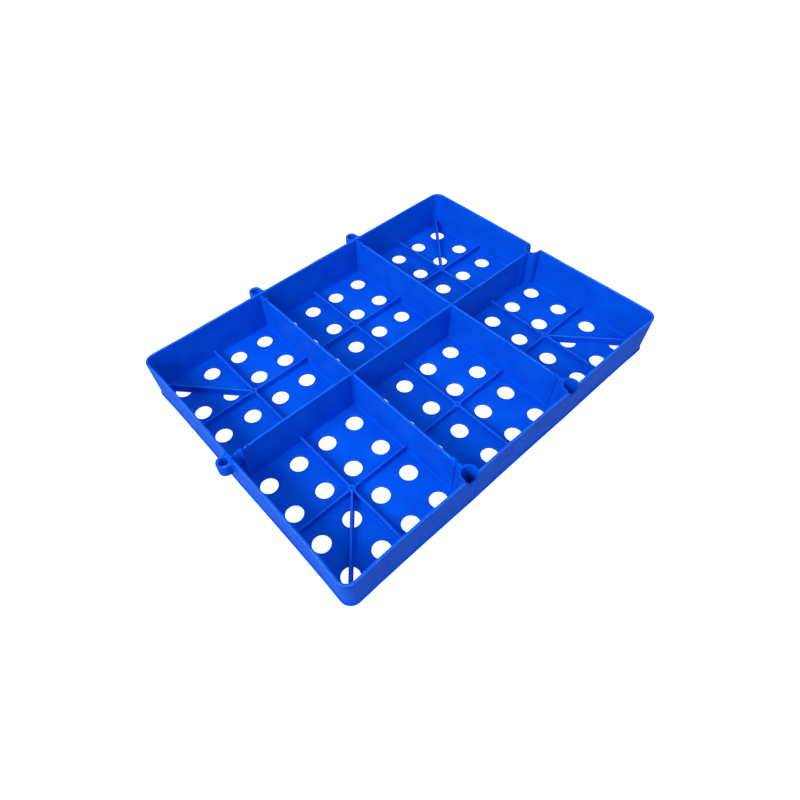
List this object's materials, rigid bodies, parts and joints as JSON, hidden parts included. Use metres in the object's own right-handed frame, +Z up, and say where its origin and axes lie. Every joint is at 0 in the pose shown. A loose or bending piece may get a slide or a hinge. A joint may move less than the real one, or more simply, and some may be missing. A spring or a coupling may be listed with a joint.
{
  "type": "plug tray",
  "caption": "Open moulded tray with square-holed cells, thin dividers, ribbed drained floors, and ring lugs and sockets that couple trays edge to edge.",
  "frame": {"origin": "middle of the flat underside, between the two inner cross dividers and under the long divider", "axes": "+X along the tray's long side from the lug end to the socket end, +Y across it towards the side with two lugs, +Z up towards the rim"},
  "size_m": [0.4064, 0.3104, 0.045],
  "materials": {
    "tray_plastic": "satin moulded polypropylene"
  },
  "bodies": {
    "root": {"floor_front_left": "tray_plastic", "floor_front_middle": "tray_plastic", "floor_front_right": "tray_plastic", "floor_back_left": "tray_plastic", "floor_back_middle": "tray_plastic", "floor_back_right": "tray_plastic", "rib_cross_front_left": "tray_plastic", "rib_cross_front_middle": "tray_plastic", "rib_cross_front_right": "tray_plastic", "rib_cross_back_left": "tray_plastic", "rib_cross_back_middle": "tray_plastic", "rib_cross_back_right": "tray_plastic", "diagonal_rib_front_left": "tray_plastic", "diagonal_rib_front_right": "tray_plastic", "diagonal_rib_back_left": "tray_plastic", "diagonal_rib_back_right": "tray_plastic", "front_wall": "tray_plastic", "back_wall": "tray_plastic", "left_wall": "tray_plastic", "right_wall": "tray_plastic", "corner_front_left": "tray_plastic", "corner_front_right": "tray_plastic", "corner_back_left": "tray_plastic", "corner_back_right": "tray_plastic", "long_divider_left": "tray_plastic", "long_divider_middle": "tray_plastic", "long_divider_right": "tray_plastic", "cross_divider_front_left": "tray_plastic", "cross_divider_front_right": "tray_plastic", "cross_divider_back_left": "tray_plastic", "cross_divider_back_right": "tray_plastic", "crossing_post_left": "tray_plastic", "crossing_post_right": "tray_plastic", "end_post_left": "tray_plastic", "end_post_right": "tray_plastic", "end_post_front_left": "tray_plastic", "end_post_front_right": "tray_plastic", "end_post_back_left": "tray_plastic", "end_post_back_right": "tray_plastic", "lug_left": "tray_plastic", "lug_back_left": "tray_plastic", "lug_back_right": "tray_plastic", "socket_right": "tray_plastic", "socket_front_left": "tray_plastic", "socket_front_right": "tray_plastic"}
  },
  "joints": []
}
